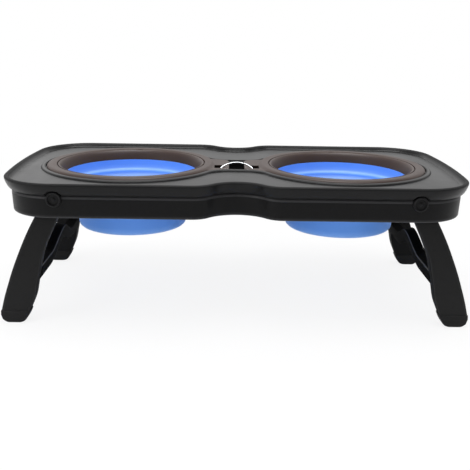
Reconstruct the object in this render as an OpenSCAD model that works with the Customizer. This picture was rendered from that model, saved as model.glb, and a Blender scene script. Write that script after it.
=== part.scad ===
// Folding dog feeder stand with two press-flat bowls, millimetres, standing on z = 0.

/* [Tray] */
// overall length of the tray over the lip
tray_length = 427; // [412:1:440]
// overall depth of the tray over the lip
tray_depth = 219; // [210:1:230]
// height of the lip above the floor
stand_height = 133; // [129:0.5:140]
// how far the ends of the tray bulge
end_bow = 2.6; // [2:0.2:3.4]
// corner radius of the lip
corner_radius = 50; // [46:1:52]
// half width of the waist in the long sides
waist_half = 40; // [34:1:44]
// depth of the waist
waist_depth = 18.5; // [15:0.5:20]
// width of the lip seen from above
lip_width = 3.6; // [3:0.1:4.5]
// height of the lip above the tray floor
lip_height = 3.2; // [2.4:0.1:3.6]
// thickness of the tray floor
floor_thickness = 2.4; // [2:0.1:2.8]
// height of the upper band under the lip
band_height = 11.5; // [11:0.1:12]
// wall of the upper band
band_wall = 3; // [2.4:0.1:3.5]
// width of the raised collar round the bowl rims
collar_width = 5; // [4:0.1:6]
// height of the raised collar
collar_height = 1.8; // [1.2:0.1:2.2]
// radius of a bowl opening in the tray
opening_radius = 74; // [73.8:0.1:74.6]

/* [Apron] */
// setback of the apron behind the lip
apron_inset = 6; // [5.5:0.1:7]
// wall of the apron
apron_wall = 3; // [2.4:0.1:3.4]
// height of the apron below the groove
apron_height = 18.1; // [17:0.1:19]
// open groove between upper band and apron
groove_height = 2; // [1.5:0.1:2.5]
// setback of the neck inside the groove
neck_inset = 8; // [7.5:0.1:8.6]
// radius of a screw lug
lug_radius = 5; // [4.5:0.1:5.5]
// shank radius of a deck screw
screw_radius = 1.5; // [1.3:0.1:1.7]

/* [Bowls] */
// distance from the middle to a bowl centre
bowl_x = 104; // [103:0.5:105]
// outer radius of a bowl rim
rim_radius = 82; // [81:0.2:83]
// radius of the inner edge of a bowl rim
rim_inner = 71.3; // [71:0.1:71.8]
// crown of the rim above the tray floor
rim_crown = 3.4; // [3:0.1:3.8]
// outer radius of the upper bowl band
bowl_radius = 66; // [65.6:0.1:66.2]
// height of one bowl step
bowl_step = 10.65; // [9.5:0.05:11]
// wall of the bowl
bowl_wall = 1.4; // [1.2:0.05:1.6]
// height of the base cup below its flange
cup_height = 20.2; // [18:0.2:21]
// overhang of a flange on the lip below it
flange_over = 2.4; // [2:0.05:2.6]
// thickness of the flanges and lips
flange_thick = 1.2; // [1:0.1:1.4]

/* [Tabs and bail] */
// half width of a rim tab
tab_half = 25; // [24:0.5:27]
// distance from the middle to the end of a tab
tab_end = 7.5; // [7:0.1:8.5]
// fillet between a tab and its rim
tab_fillet = 28; // [26:0.5:29]
// wire radius of the bail
wire_radius = 0.8; // [0.7:0.05:0.9]
// half span of the bail
bail_half = 15.6; // [15.2:0.1:16]
// length of the bail from its axis to its crown
bail_length = 10.6; // [10.4:0.1:11.2]
// rest angle of the bail above level
bail_rest = 42; // [40:0.5:46]

/* [Legs] */
// distance from a tray end to a leg pivot
pivot_inset = 55.5; // [54:0.5:58]
// depth of the pivot axis below the lip
pivot_drop = 14.5; // [14.5:0.1:16]
// radius of a pivot pin
pin_radius = 3; // [2.6:0.1:3.4]
// radius of a pivot pin head
pin_head = 6.5; // [6:0.1:7]
// clearance round a pivot pin
pin_gap = 0.05; // [0.03:0.01:0.09]
// setback of a leg's outer face behind the lip
leg_setback = 14; // [13.5:0.1:15]
// thickness of a leg
leg_thick = 13; // [11:0.25:13.5]
// wall of the leg channel
leg_wall = 3; // [2.4:0.1:3.4]
// eye radius at the top of a leg
eye_radius = 8.2; // [7.6:0.1:8.4]
// outward reach of a leg from pivot to foot
leg_reach = 55; // [50:0.5:58]
// height of a rubber foot
foot_height = 11.6; // [10:0.2:13]
// how far a foot stands proud of its leg
foot_proud = 1; // [0.6:0.1:1.4]
// level height of the cross-bar's upper edge
bar_level = 51.5; // [48:0.5:54]
// rise of the cross-bar in its middle
bar_rise = 14; // [12:0.5:15]
// upright height of the cross-bar
bar_height = 13.5; // [11:0.5:14]
// thickness of the cross-bar
bar_thick = 10.5; // [9:0.25:11]

/* [Fits] */
// clearance between a moving piece and the one round it
move_gap = 0.3; // [0.25:0.01:0.4]
// clearance between a rim and the tray
rim_gap = 0.4; // [0.3:0.05:0.5]
// clearance between a leg and its stop
stop_gap = 0.2; // [0.1:0.05:0.4]

/* [Hidden] */
$fn = 96;
// tray levels and outline
half_length = tray_length / 2;
half_depth = tray_depth / 2;
floor_top = stand_height - lip_height;
floor_under = floor_top - floor_thickness;
band_bottom = stand_height - band_height;
apron_top = band_bottom - groove_height;
apron_bottom = apron_top - apron_height;
corner_y = half_depth - corner_radius;
end_radius = (corner_y * corner_y + end_bow * end_bow) / (2 * end_bow);
corner_angle = asin(corner_y / (end_radius - corner_radius));
end_centre = end_radius - half_length;
corner_x = (end_radius - corner_radius) * cos(corner_angle) - end_centre;
waist_radius = (waist_half * waist_half + waist_depth * waist_depth) / (4 * waist_depth);
shoulder_y = half_depth - waist_radius;
notch_y = half_depth - waist_depth + waist_radius;
notch_base = half_depth - waist_depth;
waist_turn = atan2(waist_half, notch_y - shoulder_y);
// rims, tabs and the well between them
fillet_y = tab_half + tab_fillet;
fillet_x = bowl_x - sqrt(pow(rim_radius + tab_fillet, 2) - fillet_y * fillet_y);
tab_turn = atan2(fillet_y, bowl_x - fillet_x);
plate_top = floor_top + 1.3;
tab_block = tab_half - 4.6;
tab_under = floor_top - 3.4;
tab_corner = 6;
well_half = tab_block + 0.6;
well_end = bowl_x - opening_radius + 1;
well_depth = 12.8;
well_over = 8;
well_floor = floor_top - well_depth;
well_wall = 2;
bail_y = -17;
bail_z = plate_top - 2.4;
bail_turn = 48;
bail_corner = 5;
bail_side = bail_half - bail_corner;
bail_bend = bail_side / cos(bail_turn) + bail_corner;
bail_low = bail_length - bail_bend;
bail_start = bail_low + bail_side * tan(bail_turn);
slot_in = bail_half - 2.2;
slot_out = bail_half + wire_radius + 5;
slot_ahead = 2;
slot_run = 7.5;
slot_front = bail_y - slot_ahead;
slot_rear = slot_front + slot_run;
trunnion_end = slot_out + 4;
// bowls
throat_base = floor_top - 7;
step_in = bowl_wall + move_gap + flange_over;
radii = [for (k = [0 : 3]) bowl_radius - k * step_in];
band_low = [for (k = [0 : 2]) throat_base - bowl_step * (k + 1) - 0.8];
cup_bottom = band_low[2] + flange_thick - cup_height;
// legs
pivot_x = half_length - pivot_inset;
pivot_z = stand_height - pivot_drop;
leg_face = half_depth - leg_setback;
leg_inner = leg_face - leg_thick;
leg_drop = pivot_z - foot_height;
leg_scale = leg_reach / 55;
leg_rows = [
    [0, -8, 9], [0.187, 0.5, 20.8], [0.341, 8.5, 29.4], [0.496, 15.3, 36.8],
    [0.641, 18.9, 43.1], [0.76, 21.7, 47.6], [0.875, 24.4, 51.7], [1, 30, 55.4]
];
foot_stub = [[37.5, 0.36], [52, 0.36]];
foot_rows = [
    [-0.8, 1], [-0.3, 0.88], [3, 0.56], [6.2, 0.26], [9.3, 0],
    [21.3, 0], [25, 0.28], [26.3, 0.64], [26, 1]
];
bar_half = 45;
bar_lean = 11;
bar_out = 15.6;
bar_x = bar_out * leg_scale;
bar_top = bar_level + bar_rise;
apron_face = half_depth - apron_inset;
apron_inner = apron_face - apron_wall;
boss_face = leg_face + 1.5;
boss_radius = 8;
notch_radius = pin_head + 1.5;
groove_radius = pin_radius - 0.5;
clip_out = leg_inner - move_gap;
clip_thick = 1;
apron_mid = apron_inset + apron_wall / 2;
end_lug = 18;
side_lug = 16.5;
lug_y = 40;
lug_drop = 1;
lug_thick = 3;
lug_base = apron_top - lug_drop - lug_thick;
screw_head = 2;
screw_tip = floor_under - 0.3;
screw_places = [
    for (sx = [-1, 1]) for (sy = [-1, 1]) [sx * (half_length - end_lug), sy * lug_y],
    [0, notch_base - side_lug], [0, side_lug - notch_base]
];

// points of an arc, with or without its last point
function arc(centre, radius, from, to, count, last) = [
    for (k = [0 : count - 1 + last])
        centre + radius * [cos(from + (to - from) * k / count), sin(from + (to - from) * k / count)]
];
// mirrored point lists, in reverse order
function flip_x(list) = [for (k = [len(list) - 1 : -1 : 0]) [-list[k][0], list[k][1]]];
function flip_y(list) = [for (k = [len(list) - 1 : -1 : 0]) [list[k][0], -list[k][1]]];
function inner(list, start, end) = [for (k = [start : len(list) - 1 - end]) list[k]];
function close_loop(half) = concat(half, inner(flip_y(half), 1, 1));

// quarter of the tray outline from the right end to the rear waist
function tray_quarter(inset) = concat(
    arc([-end_centre, 0], end_radius - inset, 0, corner_angle, 4, 0),
    arc([corner_x, corner_y], corner_radius - inset, corner_angle, 90, 12, 0),
    arc([waist_half, shoulder_y], waist_radius - inset, 90, 90 + waist_turn, 7, 0),
    arc([0, notch_y], waist_radius + inset, waist_turn - 90, -90, 7, 1)
);

// tray outline moved inward by a setback
module outline(inset) {
    quarter = tray_quarter(inset);
    polygon(close_loop(concat(quarter, inner(flip_x(quarter), 1, 0))));
}

// upright wall between two setbacks
module ring_wall(outer, inner, low, high) {
    translate([0, 0, low]) linear_extrude(height = high - low) difference() {
        outline(outer);
        outline(inner);
    }
}

// quarter of both rims and their tabs in plan, from the right end to the tab
function rim_quarter(margin) = concat(
    arc([bowl_x, 0], rim_radius + margin, 0, 180 - tab_turn, 36, 0),
    arc([fillet_x, fillet_y], tab_fillet - margin, -tab_turn, -90, 8, 1)
);

// plan of both rims with their tabs, grown by a margin
module figure_eight(margin) {
    quarter = rim_quarter(margin);
    polygon(close_loop(concat(quarter, flip_x(quarter))));
}

// region of the right tab with its rounded end
module tab_outline() {
    corner = arc([tab_end + tab_corner, tab_half - tab_corner], tab_corner, 90, 180, 6, 1);
    half = concat(
        [[bowl_x, 2 * rim_radius], [tab_end + tab_corner, 2 * rim_radius]], corner
    );
    polygon(concat(half, flip_y(half)));
}

module tray_deck() {
    color([0.13, 0.13, 0.13]) difference() {
        union() {
            difference() {
                translate([0, 0, band_bottom]) linear_extrude(height = band_height) outline(0);
                translate([0, 0, floor_top]) linear_extrude(height = band_height) outline(lip_width);
                translate([0, 0, floor_under - band_height]) linear_extrude(height = band_height)
                    outline(band_wall);
            }
            translate([0, 0, floor_top - 0.5]) linear_extrude(height = collar_height + 0.5) difference() {
                figure_eight(rim_gap + collar_width);
                figure_eight(rim_gap);
            }
            translate([-well_end, -well_half - well_wall, well_floor])
                cube([2 * well_end, 2 * (well_half + well_wall), floor_under - well_floor + 0.5]);
            for (p = screw_places)
                translate([p[0], p[1], apron_top - lug_drop])
                    cylinder(r = lug_radius - 0.8, h = floor_under - apron_top + lug_drop + 0.5);
        }
        for (sx = [-1, 1]) translate([sx * bowl_x, 0, well_floor - 1])
            cylinder(r = opening_radius, h = stand_height, $fn = 180);
        translate([-well_end + well_wall, -well_half, well_floor + well_wall])
            cube([2 * (well_end - well_wall), 2 * well_half, stand_height]);
        translate([-well_end - well_over, -well_half, floor_under - 1])
            cube([2 * (well_end + well_over), 2 * well_half, stand_height]);
        for (p = screw_places)
            translate([p[0], p[1], lug_base])
                cylinder(r = screw_radius + pin_gap, h = screw_tip + 0.6 - lug_base, $fn = 32);
        // arched notches in the band round the pivot heads
        for (sx = [-1, 1])
            translate([sx * pivot_x, half_depth + 1, pivot_z]) rotate([90, 0, 0])
                cylinder(r = notch_radius, h = tray_depth + 2, $fn = 64);
    }
}

// stop that meets the outer edge of one deployed leg, on the right at the rear
module leg_stop() {
    low = 13;
    high = 5.5;
    slope = (leg_rows[1][2] - leg_rows[0][2]) / leg_rows[1][0] / leg_drop * leg_scale;
    start = leg_rows[0][2] * leg_scale;
    gap = stop_gap * sqrt(1 + slope * slope);
    intersection() {
        translate([pivot_x, leg_face - 0.5, pivot_z]) rotate([90, 0, 0])
            linear_extrude(height = leg_thick - 1)
                polygon([
                    [start + gap + slope * high, -high], [start + gap + slope * low, -low],
                    [half_length - pivot_x, -low], [half_length - pivot_x, -high]
                ]);
        linear_extrude(height = stand_height) outline(apron_inset + apron_wall / 2);
    }
}

module apron() {
    color([0.1, 0.1, 0.1]) difference() {
        union() {
            ring_wall(apron_inset, apron_inset + apron_wall, apron_bottom, apron_top);
            ring_wall(apron_inset + 0.5, neck_inset + 3, apron_top - 3, apron_top);
            ring_wall(neck_inset, neck_inset + 3, apron_top - 0.5, floor_under);
            for (sx = [-1, 1]) for (sy = [-1, 1]) {
                translate([sx * pivot_x, sy * (apron_inner + 0.5), pivot_z]) rotate([sy * 90, 0, 0])
                    cylinder(r = boss_radius, h = apron_inner + 0.5 - boss_face);
                mirror([sx < 0 ? 1 : 0, 0, 0]) mirror([0, sy < 0 ? 1 : 0, 0]) leg_stop();
            }
            for (p = screw_places) {
                translate([p[0], p[1], lug_base]) cylinder(r = lug_radius, h = lug_thick);
                reach = [
                    p[0] == 0 ? 0 : sign(p[0]) * (end_lug - apron_mid - 1.2),
                    p[0] == 0 ? sign(p[1]) * (side_lug - apron_mid) : 0
                ];
                translate([
                    min(p[0], p[0] + reach[0]) - (p[0] == 0 ? lug_radius : 0),
                    min(p[1], p[1] + reach[1]) - (p[0] == 0 ? 0 : lug_radius), lug_base
                ])
                    cube([
                        abs(reach[0]) + (p[0] == 0 ? 2 * lug_radius : 0),
                        abs(reach[1]) + (p[0] == 0 ? 0 : 2 * lug_radius), lug_thick
                    ]);
            }
        }
        for (sx = [-1, 1])
            translate([sx * pivot_x, half_depth, pivot_z]) rotate([90, 0, 0])
                cylinder(r = pin_radius + pin_gap, h = tray_depth, $fn = 64);
        for (p = screw_places)
            translate([p[0], p[1], lug_base - 1])
                cylinder(r = screw_radius + pin_gap, h = lug_thick + 2, $fn = 32);
    }
}

module deck_screws() {
    color([0.6, 0.6, 0.62]) for (p = screw_places) {
        translate([p[0], p[1], lug_base - screw_head])
            cylinder(r = 2 * screw_radius + 0.2, h = screw_head, $fn = 32);
        translate([p[0], p[1], lug_base - 0.2])
            cylinder(r = screw_radius, h = screw_tip - lug_base + 0.2, $fn = 32);
    }
}

// right rim with its throat, tab and slot
module rim_body() {
    difference() {
        union() {
            translate([bowl_x, 0, 0]) rotate_extrude($fn = 180) polygon([
                [rim_radius, floor_top], [rim_radius, floor_top + 1.4],
                [rim_radius - 2, floor_top + rim_crown - 0.8], [rim_radius - 5.5, floor_top + rim_crown],
                [rim_inner + 2.2, floor_top + rim_crown - 0.1], [rim_inner, floor_top + rim_crown - 0.8],
                [rim_inner - 2.1, floor_top + 0.8], [rim_inner - 4.3, floor_top - 2.2],
                [bowl_radius - 0.4, floor_top - 4.9], [bowl_radius - 1.1, throat_base],
                [bowl_radius + 0.6, throat_base], [rim_inner - 3.7, floor_top - 4.8],
                [rim_inner - 1.9, floor_top - 1.8], [opening_radius - 2.9, floor_top - 1.2],
                [opening_radius - 2.9, tab_under], [opening_radius - rim_gap - 0.4, tab_under],
                [opening_radius - rim_gap - 0.4, floor_top]
            ]);
            translate([0, 0, floor_top]) linear_extrude(height = plate_top - floor_top) difference() {
                intersection() {
                    figure_eight(-rim_gap);
                    tab_outline();
                }
                translate([bowl_x, 0]) circle(r = rim_inner + 3, $fn = 180);
            }
            translate([tab_end, -tab_block, tab_under])
                cube([bowl_x - opening_radius - tab_end + 2.4, 2 * tab_block, plate_top - tab_under - 0.4]);
        }
        translate([slot_in, slot_front, tab_under - 1])
            cube([slot_out - slot_in, slot_rear - slot_front, plate_top - tab_under + 2]);
        translate([slot_in, bail_y, bail_z]) rotate([0, 90, 0])
            cylinder(r = wire_radius + pin_gap, h = trunnion_end + 0.3 - slot_in, $fn = 48);
    }
}

module left_rim() {
    color([0.3, 0.26, 0.25]) mirror([1, 0, 0]) rim_body();
}

module right_rim() {
    color([0.3, 0.26, 0.25]) rim_body();
}

// bent wire in the bail's plane between two angles
module wire_arc(radius, from, to) {
    rotate([0, 0, from]) rotate_extrude(angle = to - from)
        translate([radius, 0]) circle(r = wire_radius, $fn = 48);
}

module carry_bail() {
    color([0.85, 0.86, 0.88]) translate([0, bail_y, bail_z]) rotate([bail_rest, 0, 0]) {
        translate([0, bail_low, 0]) wire_arc(bail_bend, bail_turn, 180 - bail_turn);
        for (side = [0, 1]) mirror([side, 0, 0]) {
            translate([bail_side, bail_start, 0]) {
                wire_arc(bail_corner, 0, bail_turn);
                rotate([0, 0, bail_turn]) translate([bail_corner, 0, 0]) rotate([90, 0, 0])
                    cylinder(r = wire_radius + 0.05, h = 0.8, center = true, $fn = 48);
            }
            translate([bail_half, 0, 0]) rotate([-90, 0, 0])
                cylinder(r = wire_radius + 0.05, h = bail_start + 0.5, $fn = 48);
            translate([bail_half - wire_radius, 0, 0]) rotate([0, 90, 0])
                cylinder(r = wire_radius, h = trunnion_end - bail_half + wire_radius, $fn = 48);
        }
    }
}

// one step of a bowl wall, counted from the top
module bowl_ring(k) {
    outer = radii[k];
    low = band_low[k];
    high = k == 0 ? throat_base : band_low[k - 1] + 2 * flange_thick;
    over = k == 0 ? 0 : flange_over;
    hole = outer - step_in + move_gap;
    rotate_extrude($fn = 180) polygon([
        [hole, low], [outer, low], [outer, high - flange_thick], [outer + over, high - flange_thick],
        [outer + over, high], [outer - bowl_wall, high], [outer - bowl_wall, low + flange_thick],
        [hole, low + flange_thick]
    ]);
}

module base_cup() {
    outer = radii[3];
    seat = band_low[2] + flange_thick;
    high = seat + flange_thick;
    rotate_extrude($fn = 180) polygon([
        [0, cup_bottom], [outer - 2.4, cup_bottom], [outer - 1, cup_bottom + 0.8], [outer, cup_bottom + 3],
        [outer, seat], [outer + flange_over, seat], [outer + flange_over, high], [outer - bowl_wall, high],
        [outer - bowl_wall, cup_bottom + 4], [outer - bowl_wall - 2, cup_bottom + 2], [0, cup_bottom + 2]
    ]);
}

module at_bowl(side) {
    color([0.33, 0.52, 0.9]) translate([side * bowl_x, 0, 0]) children();
}

module left_upper_band() { at_bowl(-1) bowl_ring(0); }
module left_middle_band() { at_bowl(-1) bowl_ring(1); }
module left_lower_band() { at_bowl(-1) bowl_ring(2); }
module left_base_cup() { at_bowl(-1) base_cup(); }
module right_upper_band() { at_bowl(1) bowl_ring(0); }
module right_middle_band() { at_bowl(1) bowl_ring(1); }
module right_lower_band() { at_bowl(1) bowl_ring(2); }
module right_base_cup() { at_bowl(1) base_cup(); }

// side shape of a leg from its pivot, x outward and y up, taken in by a wall
module leg_shape(wall, first, last) {
    polygon(concat(
        [for (k = [first : last]) [leg_rows[k][1] * leg_scale + wall, -leg_rows[k][0] * leg_drop]],
        [for (k = [last : -1 : first]) [leg_rows[k][2] * leg_scale - wall, -leg_rows[k][0] * leg_drop]]
    ));
}

// peg under a leg that fills its rubber foot
module peg_shape() {
    polygon([
        [leg_rows[7][1] * leg_scale, -leg_drop],
        [foot_stub[0][0] * leg_scale, foot_stub[0][1] * foot_height - pivot_z],
        [foot_stub[1][0] * leg_scale, foot_stub[1][1] * foot_height - pivot_z],
        [leg_rows[7][2] * leg_scale, -leg_drop]
    ]);
}

// one leg on the right at the rear
module leg() {
    translate([pivot_x, leg_face, pivot_z]) rotate([90, 0, 0]) difference() {
        union() {
            linear_extrude(height = leg_thick) {
                leg_shape(0, 0, 7);
                peg_shape();
            }
            cylinder(r = eye_radius, h = leg_thick);
        }
        translate([0, 0, leg_wall]) linear_extrude(height = leg_thick) leg_shape(leg_wall, 1, 3);
        translate([0, 0, -1]) cylinder(r = pin_radius + pin_gap, h = leg_thick + 2, $fn = 64);
    }
}

// cross-bar on the right
module cross_bar() {
    reach = leg_inner + 1.5;
    rows = concat([-reach], [for (k = [-12 : 12]) k * bar_half / 12], [reach]);
    rise = [for (y = rows) abs(y) >= bar_half ? 0 : bar_rise * pow(cos(90 * y / bar_half), 2)];
    translate([pivot_x + bar_x, 0, bar_top]) rotate([0, -bar_lean, 0]) rotate([90, 0, 90])
        linear_extrude(height = bar_thick) polygon(concat(
            [for (k = [0 : len(rows) - 1]) [rows[k], rise[k] - bar_rise]],
            [for (k = [len(rows) - 1 : -1 : 0]) [rows[k], rise[k] - bar_rise - bar_height]]
        ));
}

module leg_frame() {
    leg();
    mirror([0, 1, 0]) leg();
    cross_bar();
}

module left_leg_frame() {
    color([0.12, 0.12, 0.12]) mirror([1, 0, 0]) leg_frame();
}

module right_leg_frame() {
    color([0.12, 0.12, 0.12]) leg_frame();
}

// rubber foot on the right at the rear
module foot_body() {
    base = leg_rows[7][1];
    translate([pivot_x, leg_face + foot_proud, 0]) rotate([90, 0, 0]) difference() {
        linear_extrude(height = leg_thick + 2 * foot_proud)
            polygon([for (p = foot_rows) [(base + p[0]) * leg_scale, p[1] * foot_height]]);
        translate([0, pivot_z, foot_proud]) linear_extrude(height = leg_thick) peg_shape();
    }
}

module left_front_foot() { color([0.06, 0.06, 0.06]) mirror([1, 0, 0]) mirror([0, 1, 0]) foot_body(); }
module left_rear_foot() { color([0.06, 0.06, 0.06]) mirror([1, 0, 0]) foot_body(); }
module right_front_foot() { color([0.06, 0.06, 0.06]) mirror([0, 1, 0]) foot_body(); }
module right_rear_foot() { color([0.06, 0.06, 0.06]) foot_body(); }

// pivot pin on the right at the rear, head outside and clip groove inside
module pin_body() {
    tail = clip_out - clip_thick - 1.2;
    translate([pivot_x, apron_face + 2.5, pivot_z]) rotate([90, 0, 0]) difference() {
        union() {
            cylinder(r = pin_head, h = 2.5, $fn = 64);
            cylinder(r = pin_radius, h = apron_face + 2.5 - clip_out, $fn = 64);
            cylinder(r = groove_radius, h = apron_face + 2.5 - tail, $fn = 64);
            translate([0, 0, apron_face + 2.5 - clip_out + clip_thick])
                cylinder(r = pin_radius, h = 1.2, $fn = 64);
        }
        translate([0, 0, -0.5]) cylinder(r = pin_head - 1.6, h = 1.1, $fn = 64);
    }
}

module left_front_pin() { color([0.2, 0.2, 0.2]) mirror([1, 0, 0]) mirror([0, 1, 0]) pin_body(); }
module left_rear_pin() { color([0.2, 0.2, 0.2]) mirror([1, 0, 0]) pin_body(); }
module right_front_pin() { color([0.2, 0.2, 0.2]) mirror([0, 1, 0]) pin_body(); }
module right_rear_pin() { color([0.2, 0.2, 0.2]) pin_body(); }

// flat ring round a pivot at all four corners, from one depth inward
module corner_rings(outer, inner, start, thick) {
    for (sx = [-1, 1]) for (sy = [-1, 1])
        translate([sx * pivot_x, sy * start, pivot_z]) rotate([sy * 90, 0, 0]) difference() {
            cylinder(r = outer, h = thick, $fn = 64);
            translate([0, 0, -1]) cylinder(r = inner, h = thick + 2, $fn = 64);
        }
}

module pivot_washers() {
    color([0.75, 0.75, 0.72])
        corner_rings(boss_radius - 0.5, pin_radius + pin_gap, boss_face, boss_face - leg_face);
}

module pin_clips() {
    color([0.6, 0.6, 0.62]) corner_rings(pin_radius + 2.2, groove_radius + pin_gap, clip_out, clip_thick);
}

tray_deck();
apron();
deck_screws();
left_rim();
right_rim();
carry_bail();
left_upper_band();
left_middle_band();
left_lower_band();
left_base_cup();
right_upper_band();
right_middle_band();
right_lower_band();
right_base_cup();
left_leg_frame();
right_leg_frame();
left_front_foot();
left_rear_foot();
right_front_foot();
right_rear_foot();
left_front_pin();
left_rear_pin();
right_front_pin();
right_rear_pin();
pivot_washers();
pin_clips();
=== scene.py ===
import bmesh
import bpy
import numpy as np
from mathutils import Matrix


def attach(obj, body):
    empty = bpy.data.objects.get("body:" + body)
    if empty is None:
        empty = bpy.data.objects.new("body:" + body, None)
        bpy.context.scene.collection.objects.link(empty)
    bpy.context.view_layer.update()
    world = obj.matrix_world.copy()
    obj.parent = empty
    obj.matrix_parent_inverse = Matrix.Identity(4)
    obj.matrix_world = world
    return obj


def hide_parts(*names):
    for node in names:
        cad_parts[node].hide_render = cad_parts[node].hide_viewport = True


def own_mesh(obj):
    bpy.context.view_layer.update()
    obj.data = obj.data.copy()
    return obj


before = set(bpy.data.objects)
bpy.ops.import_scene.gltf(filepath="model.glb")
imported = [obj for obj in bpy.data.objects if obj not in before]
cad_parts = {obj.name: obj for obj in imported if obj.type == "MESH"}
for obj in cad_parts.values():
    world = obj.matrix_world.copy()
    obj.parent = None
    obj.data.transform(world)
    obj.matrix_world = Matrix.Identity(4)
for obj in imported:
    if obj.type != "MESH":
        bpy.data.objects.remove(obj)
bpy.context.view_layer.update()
scene = bpy.context.scene
scene.view_settings.view_transform = "Standard"
mm = 0.001  # sizes in this file are millimetres, apart from the studio's
print("frame loaded,", len(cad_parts), "nodes")


def poseOf(right, upward, away, place):
    # matrix of an object that looks against the last of its three axes
    axes = right, upward, away, place
    return Matrix([[axis[row] for axis in axes] for row in range(3)] + [[0, 0, 0, 1]])


# camera at the photograph's viewing angle, its axes from yaw, pitch and roll
viewpoint = {
    "place": (-10.19, -691.93, 264.1), "yaw": -0.815, "pitch": 16.6, "roll": 0.972,
    "lens": 53.9, "sensor": 36, "clip": (0.02, 60),
}


def makeCamera(spec):
    yaw, pitch, roll = np.radians([spec["yaw"], spec["pitch"], spec["roll"]])
    right = np.array([np.cos(yaw), np.sin(yaw), 0])
    ahead = np.array([-np.sin(yaw) * np.cos(pitch), np.cos(yaw) * np.cos(pitch), -np.sin(pitch)])
    upward = np.cross(right, ahead)
    turned = np.cos(roll) * right + np.sin(roll) * upward
    raised = np.cos(roll) * upward - np.sin(roll) * right
    data = bpy.data.cameras.new("studioCamera")
    data.lens, data.sensor_width = spec["lens"], spec["sensor"]
    data.clip_start, data.clip_end = spec["clip"]
    camera = bpy.data.objects.new("studioCamera", data)
    camera.matrix_world = poseOf(turned, raised, -ahead, np.array(spec["place"]) * mm)
    scene.collection.objects.link(camera)
    scene.camera = camera


makeCamera(viewpoint)


# lines and loops of points in plan

def arcPoints(centre, radius, start, end, count=48):
    # centre plus radius times cosine and sine, the angle in even steps of degrees
    angle = np.radians(np.linspace(start, end, count))
    return np.column_stack([centre[0] + radius * np.cos(angle), centre[1] + radius * np.sin(angle)])


def spaced(line, count):
    # even steps of arc length along a line of points, its last point left out
    run = np.r_[0, np.cumsum(np.linalg.norm(np.diff(line, axis=0), axis=1))]
    at = np.linspace(0, run[-1], count + 1)[:-1]
    return np.column_stack([np.interp(at, run, line[:, axis]) for axis in range(line.shape[1])])


def closeLoop(spans, counts):
    # a quarter made of spans, mirrored in x, then both mirrored in y
    quarter = np.vstack([spaced(span, count) for span, count in zip(spans, counts)] + [spans[-1][-1:]])
    half = np.vstack([quarter, (quarter * (-1, 1))[-2::-1]])
    return np.vstack([half, (half * (1, -1))[-2:0:-1]])


def roundLoop(xLow, xHigh, yLow, yHigh, radius, count=6):
    # rectangle with four quarter-circle corners
    corners = [(xHigh - radius, yHigh - radius, 0), (xLow + radius, yHigh - radius, 90),
               (xLow + radius, yLow + radius, 180), (xHigh - radius, yLow + radius, 270)]
    return np.vstack([arcPoints((x, y), radius, turn, turn + 90, count) for x, y, turn in corners])


def smoothLine(levels, values, at):
    # cubic through the given values, each slope that of its neighbours
    slope = np.gradient(values, levels)
    cell = np.clip(np.searchsorted(levels, at, side="right") - 1, 0, len(levels) - 2)
    width = levels[cell + 1] - levels[cell]
    t = (at - levels[cell]) / width
    return ((2 * t**3 - 3 * t**2 + 1) * values[cell] + (t**3 - 2 * t**2 + t) * width * slope[cell]
            + (3 * t**2 - 2 * t**3) * values[cell + 1] + (t**3 - t**2) * width * slope[cell + 1])


# shells of points, rows by columns, each row a closed loop; the edge mark lightens edges, for wear that hands and
# floors polish and, on some pieces, as a painted highlight

def plainRows(rows):
    # each row is a loop in plan at one height
    points = np.stack([np.column_stack([loop, np.broadcast_to(z, len(loop))]) for loop, z, wearAndHighlight in rows])
    return points, np.array([wearAndHighlight for loop, z, wearAndHighlight in rows], float)


def turnedRows(profile, count):
    # radius and height turned about z: x and y are radius times cosine and sine
    profile = np.array(profile, float)
    angle = np.linspace(0, 2 * np.pi, count, endpoint=False)
    radius, height = profile[:, :1], profile[:, 1:2]
    points = np.stack([radius * np.cos(angle), radius * np.sin(angle), height + 0 * angle], axis=-1)
    return points, profile[:, 2] if profile.shape[1] > 2 else np.zeros(len(profile))


def tubeRows(path, radius, normal, sides=14):
    # a circle of the given radius carried along a flat path, square to its direction
    ahead = np.gradient(path, axis=0)
    ahead /= np.linalg.norm(ahead, axis=1, keepdims=True)
    aside = np.cross(ahead, normal)
    angle = np.linspace(0, 2 * np.pi, sides, endpoint=False)[None, :, None]
    points = path[:, None] + radius * (np.cos(angle) * aside[:, None] + np.sin(angle) * np.array(normal))
    return points, np.zeros(len(path))


def boxRows(xLow, xHigh, yLow, yHigh, zLow, zHigh, radius, wearAndHighlight=0.5, steps=5):
    # rectangles stacked in height, the end ones drawn in by a quarter circle
    turn = np.radians(np.linspace(0, 90, steps))
    inset = np.r_[radius * (1 - np.sin(turn)), radius * (1 - np.cos(turn))]
    height = np.r_[zLow + radius * (1 - np.cos(turn)), zHigh - radius * (1 - np.sin(turn))]
    rows = [(roundLoop(xLow + i, xHigh - i, yLow + i, yHigh - i, radius), z, wearAndHighlight) for i, z in zip(inset, height)]
    return plainRows(rows)


def mirrored(span, side):
    # a span of one axis on the given side of the middle
    return sorted((side * span[0], side * span[1]))


def moved(shell, turn=None, shift=(0, 0, 0)):
    points, wearAndHighlight = shell
    return (points if turn is None else points @ np.array(turn, float).T) + np.array(shift, float), wearAndHighlight


def gridFaces(rows, columns, closed, start):
    # quads between neighbouring rows and columns, the last column joined to the first
    r, c = np.meshgrid(np.arange(rows if closed else rows - 1), np.arange(columns), indexing="ij")
    after, beside = (r + 1) % rows, (c + 1) % columns
    corners = [r * columns + c, r * columns + beside, after * columns + beside, after * columns + c]
    return (np.stack(corners, axis=-1).reshape(-1, 4) + start).tolist()


def capFaces(ring, pole):
    # triangles from a ring of points to one middle point
    return np.stack([ring, np.roll(ring, -1), np.full(len(ring), pole)], axis=-1).tolist()


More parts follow.
